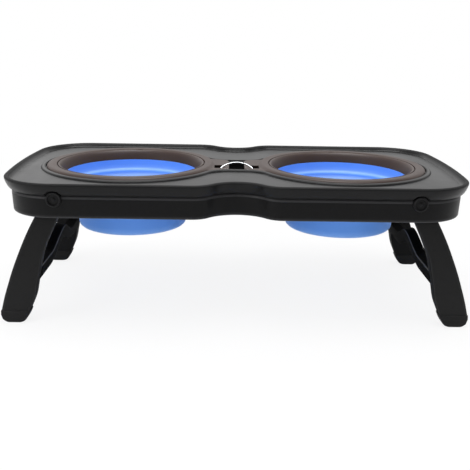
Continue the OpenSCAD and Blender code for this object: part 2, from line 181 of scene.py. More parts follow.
def meshFrom(name, shells, sharp=42):
    # shells marked closed join their last row to the first, others get a middle point at both ends
    places, wearAndHighlights, faces, start = [], [], [], 0
    for (points, wearAndHighlight), closed in shells:
        rows, columns = points.shape[:2]
        faces += gridFaces(rows, columns, closed, start)
        places.append(points.reshape(-1, 3))
        wearAndHighlight = np.broadcast_to(wearAndHighlight if wearAndHighlight.ndim > 1 else wearAndHighlight[:, None], (rows, columns))
        wearAndHighlights.append(wearAndHighlight.ravel())
        count = rows * columns
        if not closed:
            places.append(np.stack([points[0].mean(axis=0), points[-1].mean(axis=0)]))
            wearAndHighlights.append(wearAndHighlight[[0, -1]].mean(axis=1))
            faces += capFaces(start + np.arange(columns), start + count)
            faces += capFaces(start + count - columns + np.arange(columns), start + count + 1)
            count += 2
        start += count
    mesh = bpy.data.meshes.new(name)
    mesh.from_pydata(np.vstack(places) * mm, [], faces)
    layer = mesh.attributes.new("wearAndHighlight", "FLOAT", "POINT")
    layer.data.foreach_set("value", np.concatenate(wearAndHighlights).astype(np.float32))
    work = bmesh.new()
    work.from_mesh(mesh)
    bmesh.ops.recalc_face_normals(work, faces=work.faces)
    work.to_mesh(mesh)
    work.free()
    mesh.polygons.foreach_set("use_smooth", np.ones(len(mesh.polygons), bool))
    mesh.set_sharp_from_angle(angle=np.radians(sharp))
    mesh.update()
    return mesh


def addPiece(name, shells, finish, body, nodes, sharp=42):
    piece = bpy.data.objects.new(name, meshFrom(name, shells, sharp))
    scene.collection.objects.link(piece)
    piece.data.materials.append(finish)
    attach(piece, body)
    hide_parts(*nodes)
    return piece


# shared effects, each a node group that puts out masks and heights

def newGroup(name, inputs, outputs):
    tree = bpy.data.node_groups.new(name, "ShaderNodeTree")
    for label, kind, value in inputs:
        socket = tree.interface.new_socket(name=label, in_out="INPUT", socket_type=kind)
        if value is not None:
            socket.default_value = value
    for label in outputs:
        tree.interface.new_socket(name=label, in_out="OUTPUT", socket_type="NodeSocketFloat")
    return tree, tree.nodes.new("NodeGroupInput"), tree.nodes.new("NodeGroupOutput")


def addNode(tree, kind, values=None, **settings):
    node = tree.nodes.new(kind)
    for key, value in settings.items():
        setattr(node, key, value)
    for key, value in (values or {}).items():
        node.inputs[key].default_value = value
    return node


def mathNode(tree, operation, first, second):
    node = addNode(tree, "ShaderNodeMath", operation=operation)
    for index, source in enumerate((first, second)):
        if isinstance(source, (int, float)):
            node.inputs[index].default_value = source
        else:
            tree.links.new(source, node.inputs[index])
    return node.outputs[0]


def rangeNode(tree, source, low, high, outLow=0.0, outHigh=1.0):
    limits = {"From Min": low, "From Max": high, "To Min": outLow, "To Max": outHigh}
    node = addNode(tree, "ShaderNodeMapRange", limits)
    tree.links.new(source, node.inputs["Value"])
    return node.outputs["Result"]


skin = {"scale": 900.0, "finer": 1.7, "share": 0.5, "speckRange": (0.35, 0.7)}


def makeMouldGrain(spec):
    # fine spark-eroded skin: small cells over smaller noise
    tree, given, result = newGroup("mouldGrain", [("Vector", "NodeSocketVector", None),
                                                  ("Scale", "NodeSocketFloat", spec["scale"])], ["Height", "Speck"])
    cells = addNode(tree, "ShaderNodeTexVoronoi", {"Randomness": 1.0})
    noise = addNode(tree, "ShaderNodeTexNoise", {"Detail": 3.0, "Roughness": 0.6})
    finer = mathNode(tree, "MULTIPLY", given.outputs["Scale"], spec["finer"])
    tree.links.new(given.outputs["Vector"], cells.inputs["Vector"])
    tree.links.new(given.outputs["Scale"], cells.inputs["Scale"])
    tree.links.new(given.outputs["Vector"], noise.inputs["Vector"])
    tree.links.new(finer, noise.inputs["Scale"])
    height = mathNode(tree, "ADD", cells.outputs["Distance"], noise.outputs["Fac"])
    tree.links.new(mathNode(tree, "MULTIPLY", height, spec["share"]), result.inputs["Height"])
    tree.links.new(rangeNode(tree, noise.outputs["Fac"], *spec["speckRange"]), result.inputs["Speck"])
    return tree


handling = {
    "scale": 14.0, "stretch": (0.09, 1.6, 1.6), "slant": (0.0, 0.0, 0.42), "hairScale": 260.0,
    "smudgeRange": (0.42, 0.72), "hairRange": (0.66, 0.74), "patchRange": (0.45, 0.65),
}


def makeHandling(spec):
    # broad smudges, and hair scratches from noise stretched along the object
    tree, given, result = newGroup("handlingMarks", [("Vector", "NodeSocketVector", None),
                                                     ("Scale", "NodeSocketFloat", spec["scale"])],
                                   ["Smudge", "Scratch"])
    smudge = addNode(tree, "ShaderNodeTexNoise", {"Detail": 4.0, "Roughness": 0.62, "Distortion": 0.4})
    tree.links.new(given.outputs["Vector"], smudge.inputs["Vector"])
    tree.links.new(given.outputs["Scale"], smudge.inputs["Scale"])
    stretch = addNode(tree, "ShaderNodeMapping", {"Scale": spec["stretch"], "Rotation": spec["slant"]})
    hair = addNode(tree, "ShaderNodeTexNoise", {"Scale": spec["hairScale"], "Detail": 2.0, "Roughness": 0.5})
    tree.links.new(given.outputs["Vector"], stretch.inputs["Vector"])
    tree.links.new(stretch.outputs["Vector"], hair.inputs["Vector"])
    tree.links.new(rangeNode(tree, smudge.outputs["Fac"], *spec["smudgeRange"]), result.inputs["Smudge"])
    thin = rangeNode(tree, hair.outputs["Fac"], *spec["hairRange"])
    patchy = rangeNode(tree, smudge.outputs["Fac"], *spec["patchRange"])
    tree.links.new(mathNode(tree, "MULTIPLY", thin, patchy), result.inputs["Scratch"])
    return tree


wearAndHighlightNoise = {"scale": 190.0, "noiseRange": (-0.2, 0.42)}


def makeEdgeRub(spec):
    # the mesh's own edge mark of wear and painted highlight, broken up by noise
    tree, given, result = newGroup("edgeWearAndHighlight", [("Vector", "NodeSocketVector", None),
                                               ("WearAndHighlight", "NodeSocketFloat", 0.0)], ["Mask"])
    noise = addNode(tree, "ShaderNodeTexNoise", {"Scale": spec["scale"], "Detail": 4.0, "Roughness": 0.6})
    tree.links.new(given.outputs["Vector"], noise.inputs["Vector"])
    broken = rangeNode(tree, noise.outputs["Fac"], *spec["noiseRange"])
    tree.links.new(mathNode(tree, "MULTIPLY", given.outputs["WearAndHighlight"], broken), result.inputs["Mask"])
    return tree


mouldGrain, handlingMarks, edgeWearAndHighlight = makeMouldGrain(skin), makeHandling(handling), makeEdgeRub(wearAndHighlightNoise)


def linear(red, green, blue):
    # a screen colour, 0 to 255, as linear light
    value = np.array([red, green, blue]) / 255
    return (*np.where(value < 0.04045, value / 12.92, ((value + 0.055) / 1.055) ** 2.4).tolist(), 1.0)


def mixNode(tree, factor, first, second):
    # of this node's sockets, 0 is the factor, 6 and 7 are the colours and 2 is the result
    node = addNode(tree, "ShaderNodeMix", data_type="RGBA")
    tree.links.new(factor, node.inputs[0])
    for index, colour in ((6, first), (7, second)):
        if isinstance(colour, tuple):
            node.inputs[index].default_value = colour
        else:
            tree.links.new(colour, node.inputs[index])
    return node.outputs[2]


def makeFinish(name, look):
    # base colour from smudges, specks, and edges lightened by wear and by painted highlights; roughness from smudges
    # and scratches; bump from grain
    finish = bpy.data.materials.new(name)
    finish.use_nodes = True
    tree = finish.node_tree
    shader = tree.nodes["Principled BSDF"]
    place = addNode(tree, "ShaderNodeTexCoord").outputs["Object"]
    edge = addNode(tree, "ShaderNodeAttribute", attribute_name="wearAndHighlight")
    grain = addNode(tree, "ShaderNodeGroup", node_tree=mouldGrain)
    marks = addNode(tree, "ShaderNodeGroup", node_tree=handlingMarks)
    wearAndHighlightNode = addNode(tree, "ShaderNodeGroup", node_tree=edgeWearAndHighlight)
    grain.inputs["Scale"].default_value = look["grain"]
    marks.inputs["Scale"].default_value = look["marks"]
    for group in (grain, marks, wearAndHighlightNode):
        tree.links.new(place, group.inputs["Vector"])
    tree.links.new(edge.outputs["Fac"], wearAndHighlightNode.inputs["WearAndHighlight"])
    colour = mixNode(tree, marks.outputs["Smudge"], look["deep"], look["pale"])
    colour = mixNode(tree, mathNode(tree, "MULTIPLY", grain.outputs["Speck"], look["speck"]), colour, look["light"])
    colour = mixNode(tree, mathNode(tree, "MULTIPLY", wearAndHighlightNode.outputs["Mask"], look["wearAndHighlight"]), colour, look["light"])
    tree.links.new(colour, shader.inputs["Base Color"])
    rough = mathNode(tree, "MULTIPLY", marks.outputs["Smudge"], look["roughSmudge"])
    rough = mathNode(tree, "ADD", rough, look["rough"])
    scratch = mathNode(tree, "MULTIPLY", marks.outputs["Scratch"], look["scratch"])
    rough = mathNode(tree, "ADD", rough, scratch)
    polish = mathNode(tree, "MULTIPLY", wearAndHighlightNode.outputs["Mask"], look["polish"])
    tree.links.new(mathNode(tree, "SUBTRACT", rough, polish), shader.inputs["Roughness"])
    bump = addNode(tree, "ShaderNodeBump", {"Strength": look["bump"], "Distance": look["bumpDepth"] * mm})
    tree.links.new(grain.outputs["Height"], bump.inputs["Height"])
    tree.links.new(bump.outputs["Normal"], shader.inputs["Normal"])
    for socket, value in look["sockets"].items():
        shader.inputs[socket].default_value = value
    return finish


# each finish says how it differs from the tray's black plastic
blackPlastic = {
    "deep": linear(7, 7, 8), "pale": linear(10, 10, 11), "light": linear(58, 58, 60), "grain": 1100.0, "marks": 11.0,
    "speck": 0.05, "wearAndHighlight": 0.1, "rough": 0.31, "roughSmudge": 0.07, "scratch": 0.10, "polish": 0.10,
    "bump": 0.2, "bumpDepth": 0.1, "sockets": {"Specular IOR Level": 0.2},
}
looks = {
    "tray": ("trayPlastic", {"polish": -0.4}),
    # the apron's light colour shows wear and a painted highlight on its ledge
    "apron": ("apronPlastic", {"light": linear(80, 80, 82), "grain": 1000.0, "speck": 0.04, "wearAndHighlight": 0.5, "rough": 0.4,
                               "sockets": {"Specular IOR Level": 0.14}}),
    # the leg's light colour shows wear and a painted highlight line along the inner front edge
    "leg": ("legPlastic", {"deep": linear(8, 8, 8), "pale": linear(12, 12, 12), "light": linear(104, 104, 105),
                           "grain": 950.0, "speck": 0.02, "wearAndHighlight": 0.4, "rough": 0.6,
                           "sockets": {"Specular IOR Level": 0.08}}),
    # the bar is the legs' own plastic painted darker as shade under the tray; its light colour is a painted highlight
    # along one edge
    "bar": ("barPlasticPaintedShade", {"deep": linear(4, 4, 4), "pale": linear(7, 7, 7), "light": linear(120, 120, 121),
                           "grain": 950.0, "speck": 0.01, "wearAndHighlight": 0.6, "rough": 0.78, "polish": 0.2,
                           "sockets": {"Specular IOR Level": 0.03}}),
    "pin": ("pinPlastic", {"deep": linear(14, 14, 15), "rough": 0.46, "sockets": {"Specular IOR Level": 0.18}}),
    "rim": ("rimPlastic", {"deep": linear(52, 37, 32), "pale": linear(58, 43, 37), "light": linear(112, 97, 91),
                           "grain": 900.0, "wearAndHighlight": 0.28, "rough": 0.47, "sockets": {"Specular IOR Level": 0.22}}),
    # the bowl's light colour is painted light on its fold ridges and inner steps
    "bowl": ("bowlSilicone", {"deep": linear(97, 154, 243), "pale": linear(103, 160, 245),
                              "light": linear(208, 236, 255), "grain": 1500.0, "marks": 7.0, "speck": 0.03,
                              "wearAndHighlight": 0.8, "rough": 0.46, "bump": 0.12, "bumpDepth": 0.08,
                              "sockets": {"Specular IOR Level": 0.16, "Sheen Weight": 0.08, "Sheen Roughness": 0.4}}),
    "foot": ("footRubber", {"deep": linear(13, 13, 13), "pale": linear(19, 19, 19), "grain": 700.0, "marks": 30.0,
                            "speck": 0.2, "rough": 0.62, "roughSmudge": 0.12, "bump": 0.35, "bumpDepth": 0.15,
                            "sockets": {"Specular IOR Level": 0.22}}),
    "wire": ("brightWire", {"deep": linear(226, 229, 233), "pale": linear(236, 238, 240),
                            "light": linear(250, 250, 250), "grain": 2600.0, "marks": 60.0, "speck": 0.1,
                            "rough": 0.2, "roughSmudge": 0.08, "bump": 0.05, "bumpDepth": 0.03,
                            "sockets": {"Metallic": 1.0}}),
    "washer": ("washerPlastic", {"deep": linear(206, 205, 198), "pale": linear(216, 215, 208),
                                 "light": linear(235, 234, 228), "rough": 0.5,
                                 "sockets": {"Specular IOR Level": 0.4}}),
    "zinc": ("zincSteel", {"deep": linear(168, 170, 174), "pale": linear(186, 187, 190),
                           "light": linear(214, 214, 216), "grain": 1800.0, "marks": 120.0, "rough": 0.3,
                           "sockets": {"Metallic": 1.0}}),
}
finishes = {key: makeFinish(name, {**blackPlastic, **look}) for key, (name, look) in looks.items()}
print("finishes made:", len(finishes))


# tray: one outline for deck and apron, taken in by a setback
tray = {
    "length": 427, "depth": 219, "height": 133, "endBow": 2.6, "corner": 50, "waistHalf": 40, "waistDepth": 18.5,
    "floor": 129.8, "floorUnder": 127.4, "pinX": 158, "pinZ": 118.5, "archRadius": 8, "pinReach": 8,
    "counts": (34, 16, 32, 14, 20, 16, 16),
}
bowlX = 104
sides, ends = ((-1, "left"), (1, "right")), ((-1, "front"), (1, "rear"))
halfLength, halfDepth = tray["length"] / 2, tray["depth"] / 2
cornerY = halfDepth - tray["corner"]
endRadius = (cornerY**2 + tray["endBow"]**2) / (2 * tray["endBow"])
cornerAngle = np.degrees(np.arcsin(cornerY / (endRadius - tray["corner"])))
endCentre = endRadius - halfLength
cornerX = (endRadius - tray["corner"]) * np.cos(np.radians(cornerAngle)) - endCentre
waistRadius = (tray["waistHalf"]**2 + tray["waistDepth"]**2) / (4 * tray["waistDepth"])
shoulderY = halfDepth - waistRadius
notchY = halfDepth - tray["waistDepth"] + waistRadius
waistTurn = np.degrees(np.arctan2(tray["waistHalf"], notchY - shoulderY))


def trayLoop(inset):
    # end arc, corner arc, long side past the pivot, shoulder arc and waist arc, each radius changed by the setback
    middle = (cornerAngle + 90) / 2
    side = halfDepth - inset
    centre, radius = (cornerX, cornerY), tray["corner"] - inset
    pinIn, pinOut = tray["pinX"] - tray["pinReach"], tray["pinX"] + tray["pinReach"]
    pinTurn = np.degrees(np.arccos((pinOut - cornerX) / radius))
    spans = [
        np.vstack([arcPoints((-endCentre, 0), endRadius - inset, 0, cornerAngle),
                   arcPoints(centre, radius, cornerAngle, middle)[1:]]),
        arcPoints(centre, radius, middle, pinTurn),
        np.vstack([arcPoints(centre, radius, pinTurn, 90), [(pinIn, side)]]),
        np.array([(pinIn, side), (bowlX, side)]),
        np.array([(bowlX, side), (tray["waistHalf"], side)]),
        arcPoints((tray["waistHalf"], shoulderY), waistRadius - inset, 90, 90 + waistTurn),
        arcPoints((0, notchY), waistRadius + inset, waistTurn - 90, -90),
    ]
    return closeLoop(spans, tray["counts"])


# rims in plan; the angles part the circle about a bowl as the counts part the tray's outline
rimPlan = {
    "radius": 82, "tabHalf": 25, "fillet": 28, "opening": 74, "wellHalf": 21, "angles": (0, 45, 52, 60, 90, 125),
}


def eightLoop(radius, half, fillet):
    # two circles about the bowls joined by a band of the given half width, with or without fillets
    if fillet:
        acrossY = half + fillet
        along = np.sqrt((radius + fillet)**2 - acrossY**2)
        turn = np.degrees(np.arctan2(acrossY, along))
        band = np.vstack([arcPoints((bowlX - along, acrossY), fillet, -turn, -90), [(0, half)]])
    else:
        turn = np.degrees(np.arcsin(half / radius))
        band = np.array([(bowlX - np.sqrt(radius**2 - half**2), half), (0, half)])
    angles = (*rimPlan["angles"], 180 - turn)
    spans = [arcPoints((bowlX, 0), radius, low, high) for low, high in zip(angles[:-1], angles[1:])]
    return closeLoop(spans + [band], tray["counts"])


def rimLoop(margin):
    return eightLoop(rimPlan["radius"] + margin, rimPlan["tabHalf"] + margin, rimPlan["fillet"] - margin)


def openLoop(margin):
    return eightLoop(rimPlan["opening"] + margin, rimPlan["wellHalf"] + margin, 0)


def pinArch(loop):
    # height of the arched relief over each pivot head
    across = np.abs(np.abs(loop[:, 0]) - tray["pinX"])
    inside = np.sqrt(np.clip(tray["archRadius"]**2 - across**2, 0, None))
    return np.where((inside > 0) & (np.abs(loop[:, 1]) > cornerY), tray["pinZ"] + inside, 0)


# deck: rows of margin or setback, height over the floor or drop from the top, and edge mark, standing for wear and
# for painted highlights
deck = {
    "seat": [(0, -0.7, 0.3), (0.12, -0.25, 1), (0.5, 0, 0.6), (1.2, 0, 0)],
    "collar": [(0.1, 0, 0), (0.5, 0, 0), (0.6, 0.3, 0), (0.65, 1.2, 0.2), (0.8, 1.6, 0.8), (1.2, 1.78, 0.8),
               (1.9, 1.82, 0.2), (3.2, 1.72, 0), (4.3, 1.45, 0.2), (4.95, 1.1, 0.6), (5.25, 0.7, 0.4), (5.4, 0.3, 0),
               (5.6, 0.06, 0), (6.2, 0, 0), (8.2, 0, 0)],
    "lip": [(18, 0, 0), (15, -0.12, 0), (12, -0.4, 0), (9, -0.7, 0), (7.6, -0.8, 0), (6.8, -0.76, 0), (6.2, -0.52, 0),
            (5.6, 0, 0), (5.1, 0.7, 0), (4.6, 1.5, 0.2), (4.15, 2.3, 0.8)],
    "band": [(3.5, 0.5, 0.7), (3, 0.14, 1), (2.3, 0, 1), (1.5, 0.02, 1), (0.75, 0.3, 1), (0.22, 0.85, 0.8),
             (0, 1.5, 0.3), (0.1, 2.6, 0), (0.7, 4.8, 0), (1.6, 7, 0), (2.7, 9, 0), (3.6, 10.2, 0.2), (4.5, 11, 0.6),
             (5.3, 11.4, 0.8), (6, 11.5, 0.5), (7, 11.45, 0), (7.5, 11.2, 0)],
    "bandInside": 7.5, "sinkShare": 0.45, "sinkHalf": 38, "sinkRun": 10, "panCorner": 3,
    "pan": [(20, 15, 119), (25.6, 19, 119), (26.6, 20, 119.3), (27.2, 20.6, 120.2), (27.5, 21, 127.3),
            (29.2, 22.8, 127.3), (29.2, 22.8, 118), (28.4, 22, 117), (20, 15, 117)],
}


def makeDeck():
    floor, top, under = tray["floor"], tray["height"], tray["floorUnder"]
    rows = [(openLoop(0), under, 0)]
    rows += [(openLoop(margin), floor + z, wearAndHighlight) for margin, z, wearAndHighlight in deck["seat"]]
    for margin, z, wearAndHighlight in deck["collar"]:
        # behind the tabs the collar sinks below their tops
        loop = rimLoop(margin)
        sink = np.exp(-(loop[:, 0] / deck["sinkHalf"])**4) * np.clip(loop[:, 1] / deck["sinkRun"], 0, 1)
        rows.append((loop, floor + z * (1 - deck["sinkShare"] * sink), wearAndHighlight))
    rows += [(trayLoop(inset), floor + z, wearAndHighlight) for inset, z, wearAndHighlight in deck["lip"]]
    for inset, drop, wearAndHighlight in deck["band"]:
        loop = trayLoop(inset)
        rows.append((loop, np.maximum(top - drop, pinArch(loop)), wearAndHighlight))
    rows.append((trayLoop(deck["bandInside"]), under, 0))
    # well under the tabs: a pan with a floor, its walls lofted between rounded rectangles
    well = [(roundLoop(-x, x, -y, y, deck["panCorner"]), z, 0) for x, y, z in deck["pan"]]
    addPiece("trayDeck", [(plainRows(rows), True), (plainRows(well), False)], finishes["tray"],
             "stand", ["tray_deck"])


# apron: rows of setback, base, height over the base, and edge mark; the mark is wear, and on the ledge under the band
# also a painted highlight
apron = {
    "top": 119.5, "bottom": 101.4,
    "skirt": [(8, "under", 0, 0), (8, "top", 1.85, 0), (7.7, "top", 1.7, 0.4), (7.1, "top", 1.25, 0.8),
              (6.6, "top", 0.7, 1), (6.25, "top", 0, 1), (6.05, "top", -0.7, 0.8), (6, "top", -1.3, 0),
              (6, "top", -2.4, 0), (6.5, "bottom", 3, 0), (6.55, "bottom", 1.3, 0.4), (6.8, "bottom", 0.5, 1),
              (7.2, "bottom", 0.1, 1), (7.7, "bottom", 0, 0.6), (8.6, "bottom", 0, 0.2), (8.9, "bottom", 0.3, 0),
              (9, "bottom", 0.9, 0), (9, "top", -3.4, 0), (9.4, "top", -3, 0), (11, "top", -3, 0),
              (11, "under", 0, 0)],
    "bossRadius": 8, "bossFace": 97, "bossBack": 100.8, "bossEdge": 0.5, "bossColumns": 48,
    "stop": {"x": (174.2, 183), "y": (83.2, 94.8), "z": (105.6, 113), "round": 0.5},
    "endLug": {"x": (190.5, 204.5), "y": (35, 45)}, "middleLug": {"x": (-5, 5), "y": (69.5, 83.4)},
    "lugBase": 115.5, "lugHeight": 3, "lugRound": 0.6,
}


def makeApron():
    bases = {"under": tray["floorUnder"], "top": apron["top"], "bottom": apron["bottom"]}
    rows = [(trayLoop(inset), bases[base] + rise, wearAndHighlight) for inset, base, rise, wearAndHighlight in apron["skirt"]]
    shells = [(plainRows(rows), True)]
    # bosses round the pins, stops beside the legs and lugs for the screws
    radius, face, edge = apron["bossRadius"], apron["bossFace"], apron["bossEdge"]
    profile = [(radius, -apron["bossBack"]), (radius, -face - edge), (radius - edge, -face)]
    boss = turnedRows(profile, apron["bossColumns"])
    stop, endLug, middleLug = apron["stop"], apron["endLug"], apron["middleLug"]
    lugForm = apron["lugBase"], apron["lugBase"] + apron["lugHeight"], apron["lugRound"]
    for sideX in (-1, 1):
        for sideY in (-1, 1):
            turn = [(1, 0, 0), (0, 0, -sideY), (0, sideY, 0)]
            shells.append((moved(boss, turn, (sideX * tray["pinX"], 0, tray["pinZ"])), False))
            reach, depth = mirrored(stop["x"], sideX), mirrored(stop["y"], sideY)
            shells.append((boxRows(*reach, *depth, *stop["z"], stop["round"]), False))
            reach, depth = mirrored(endLug["x"], sideX), mirrored(endLug["y"], sideY)
            shells.append((boxRows(*reach, *depth, *lugForm), False))
    for sideY in (-1, 1):
        shells.append((boxRows(*middleLug["x"], *mirrored(middleLug["y"], sideY), *lugForm), False))
    addPiece("apronSkirt", shells, finishes["apron"], "stand", ["apron"])


makeDeck()
makeApron()
print("tray and apron made")


# rims: a turned ring whose edge runs out into a flat tab towards the middle
rim = {
    "ring": [(64.9, -7, 0), (65.15, -6.2, 0), (65.9, -4.4, 0), (66.9, -2.2, 0), (67.9, -0.2, 0.1), (68.9, 1.4, 0.3),
             (69.8, 2.35, 0.6), (70.5, 2.8, 0.8), (71.05, 2.92, 0.5), (71.35, 2.75, 0), (71.5, 2.3, 0),
             (71.55, 1.3, 0), (72.25, 1.3, 0), (72.3, 2.4, 0), (72.5, 2.9, 0.2), (72.9, 3.06, 0.5),
             (73.6, 3.18, 0.4), (75, 3.3, 0.35), (77, 3.4, 0.35), (78.8, 3.36, 0.35), (80.2, 3, 0.3)],
    "flank": [(81.1, 0.4, 2.4, 1.75, 0.3), (81.7, 1.0, 1.7, 1.42, 0.4), (82, 1.6, 1.0, 1.3, 0.3)],
    "edge": [(1.3, 0.7, 1.3, 0.5), (0.55, 0.5, 1.12, 0.8), (0.15, 0.3, 0.75, 0.6), (0, 0.15, 0.3, 0), (0, 0, 0, 0),
             (0.8, 0, 0, 0)],
    "under": [(73.2, 0), (73.2, -3.4), (71.1, -3.4), (71.1, -1.2), (69.4, -1.8), (67.6, -4.8), (66.6, -7)],
    "tabEnd": 96.5, "tabCorner": 6, "tabBlend": 6, "filletGap": 0.4, "edgePoints": (90, 14, 9, 10), "sharp": 32,
    "dent": 0.5, "dentHalf": 2.8, "dentCircle": 71, "dentRadius": 70.9, "dentWide": 0.9, "dentAbove": 1,
    "block": (71.6, 96.2, 20.4, -3.1, 1.0), "blockRound": 0.6,
    "slot": (82.2, 89.4, -18.6, -4), "slotReach": 8, "slotRound": 0.5,
    "undercut": {"side": 1.2, "front": 1, "rear": 3.4, "low": -9, "high": 0.4},
}


def tabEdge():
    # distance and angle of the rim's edge about the bowl: circle, fillet, tab corner, tab end
    radius, half, fillet, corner = rimPlan["radius"], rimPlan["tabHalf"], rimPlan["fillet"], rim["tabCorner"]
    along = np.sqrt((radius + fillet)**2 - (half + fillet)**2)
    turn = np.degrees(np.arctan2(half + fillet, along))
    end = rim["tabEnd"]
    short = np.degrees(np.arcsin((along - end + corner) / fillet))
    ringCount, filletCount, cornerCount, endCount = rim["edgePoints"]
    line = np.vstack([
        arcPoints((0, 0), radius, 180, turn + rim["filletGap"], ringCount),
        arcPoints((along, half + fillet), fillet, 180 + turn, 270 - short, filletCount),
        arcPoints((end - corner, half - corner), corner, 90, 0, cornerCount),
        np.column_stack([np.full(endCount - 1, end), np.linspace(half - corner, 0, endCount)[1:]]),
    ])
    line = np.vstack([line, (line * (1, -1))[-2:0:-1]])
    return np.hypot(line[:, 0], line[:, 1]), np.arctan2(line[:, 1], line[:, 0])


def rimShell(side):
    # rows of distance and height about the bowl; the outer ones blend from the ring to the tab by a smooth step
    reach, angle = tabEdge()
    share = np.clip((reach - rimPlan["radius"]) / rim["tabBlend"], 0, 1)
    share = share * share * (3 - 2 * share)
    rows = [(distance + 0 * reach, z + 0 * reach, wearAndHighlight) for distance, z, wearAndHighlight in rim["ring"]]
    rows += [(distance + out * share, ringZ + (tabZ - ringZ) * share, wearAndHighlight)
             for distance, out, ringZ, tabZ, wearAndHighlight in rim["flank"]]
    rows += [(reach - inward * share, ringZ + (tabZ - ringZ) * share, wearAndHighlight)
             for inward, ringZ, tabZ, wearAndHighlight in rim["edge"]]
    rows += [(distance + 0 * reach, z + 0 * reach, 0) for distance, z in rim["under"]]
    distance, height = np.stack([row[0] for row in rows]), np.stack([row[1] for row in rows])
    # a shallow dent at the back of the throat's roll
    across = (angle - np.pi / 2) * rim["dentCircle"]
    dent = rim["dent"] * np.exp(-(across / rim["dentHalf"])**4)
    dent = dent * np.exp(-((distance - rim["dentRadius"]) / rim["dentWide"])**2)
    x = side * (bowlX - distance * np.cos(angle))
    y = distance * np.sin(angle)
    points = np.stack([x, y, tray["floor"] + height - dent * (height > rim["dentAbove"])], axis=-1)
    return points, np.array([row[2] for row in rows])


def cutAway(piece, shell, sharp):
    # the shell's room is taken out of the piece for good
    cutter = bpy.data.objects.new("cutter", meshFrom("cutter", [(shell, False)]))
    scene.collection.objects.link(cutter)
    cut = piece.modifiers.new("cut", "BOOLEAN")
    cut.operation, cut.solver, cut.use_self, cut.object = "DIFFERENCE", "EXACT", True, cutter
    bpy.context.view_layer.update()
    done = bpy.data.meshes.new_from_object(piece.evaluated_get(bpy.context.evaluated_depsgraph_get()))
    piece.modifiers.remove(cut)
    piece.data = done
    bpy.data.objects.remove(cutter)
    done.polygons.foreach_set("use_smooth", np.ones(len(done.polygons), bool))
    done.set_sharp_from_angle(angle=np.radians(sharp))


def makeRim(side, name):
    floor, sharp = tray["floor"], rim["sharp"]
    near, far, half, low, high = rim["block"]
    block = mirrored((bowlX - near, bowlX - far), side)
    tab = boxRows(*block, -half, half, floor + low, floor + high, rim["blockRound"])
    piece = addPiece(name + "BowlRim", [(rimShell(side), True), (tab, False)], finishes["rim"],
                     "bowl_set", [name + "_rim"], sharp)
    # the slot goes right through and is wider below the tab's top
    near, far, front, rear = rim["slot"]
    left, right = mirrored((bowlX - near, bowlX - far), side)
    reach, under, corner = rim["slotReach"], rim["undercut"], rim["slotRound"]
    cutAway(piece, boxRows(left, right, front, rear, floor - reach, floor + reach, corner), sharp)
    cutAway(piece, boxRows(left - under["side"], right + under["side"], front - under["front"], rear + under["rear"],
                           floor + under["low"], floor + under["high"], corner), sharp)


# bowls: soft wall in four steps, turned about the bowl's middle; the third number of each row paints light:
# highlights on the outer fold ridges, and the inner steps paler where light falls into the bowl
bowl = {
    "outside": [(8, 71.25, 0), (42, 71.25, 0), (43.2, 71.05, 0.1), (49.2, 71.05, 0.2), (51.6, 71.5, 0.3),
                (52.9, 72.7, 0.25), (53.5, 74.6, 0.1), (53.7, 78, 0), (53.75, 84, 0), (53.8, 87.6, 0),
                (54.2, 89, 0.2), (55.2, 89.9, 0.4), (56.6, 90.4, 0.5), (57.4, 91.2, 0.4), (57.75, 92.6, 0),
                (57.8, 96, 0), (57.85, 98.4, 0), (58.3, 99.7, 0.2), (59.3, 100.6, 0.4), (60.7, 101.1, 0.5),
                (61.5, 101.9, 0.4), (61.85, 103.3, 0), (61.9, 107, 0), (61.95, 109.1, 0), (62.4, 110.4, 0.2),
                (63.4, 111.3, 0.4), (64.8, 111.8, 0.5), (65.6, 112.6, 0.4), (65.95, 114, 0), (66, 118, 0),
                (66, 122.8, 0)],
    "inside": [(64.6, 122.8, 0), (64.55, 118, 0.05), (64.5, 114.8, 0.15), (64.1, 113.5, 0.3), (63.1, 112.8, 0.35),
               (61.9, 112.4, 0.25), (61, 111.7, 0.05), (60.6, 110.4, 0), (60.55, 109.2, 0.3), (60.5, 107, 0.9),
               (60.45, 104.2, 1), (60.05, 102.9, 1), (59.1, 102.2, 0.9), (57.9, 101.8, 0.5), (57, 101.1, 0.3),
               (56.5, 99.8, 0.15), (56.4, 96, 0.2), (56.35, 93.5, 0.4), (55.95, 92.3, 0.45), (55, 91.6, 0.35),
               (53.8, 91.2, 0.2), (52.9, 90.5, 0.1), (52.45, 89.2, 0.1), (52.3, 86, 0.15), (52.25, 78, 0.2),
               (51.9, 75.6, 0.2), (50.7, 73.8, 0.2), (48.6, 73.1, 0.15), (45, 73.05, 0.15), (30, 73.05, 0.15),
               (8, 73.05, 0.15)],
    "columns": 176, "sharp": 60, "anchor": 122.8, "keep": 0.216,
}


def makeBowl(side, name):
    # one closed wall, up the outside and down the inside, its middles capped above and below
    wall = moved(turnedRows(bowl["outside"] + bowl["inside"], bowl["columns"]), shift=(side * bowlX, 0, 0))
    nodes = [name + part for part in ("_upper_band", "_middle_band", "_lower_band", "_base_cup")]
    piece = addPiece(name + "FoldingBowl", [(wall, False)], finishes["bowl"], "bowl_set", nodes,
                     bowl["sharp"])
    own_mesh(piece)


for side, name in sides:
    makeRim(side, name)
    makeBowl(side, name)
print("rims and bowls made")


# bail: wire bent in one plane and leaned back about its ends
bail = {
    "radius": 0.66, "half": 15.6, "length": 9.4, "rest": 42, "corner": 5, "turn": 48, "end": 25.4, "endBend": 1.2,
    "y": -17, "z": 128.7, "points": (8, 8, 6, 16, 24), "sharp": 60,
}


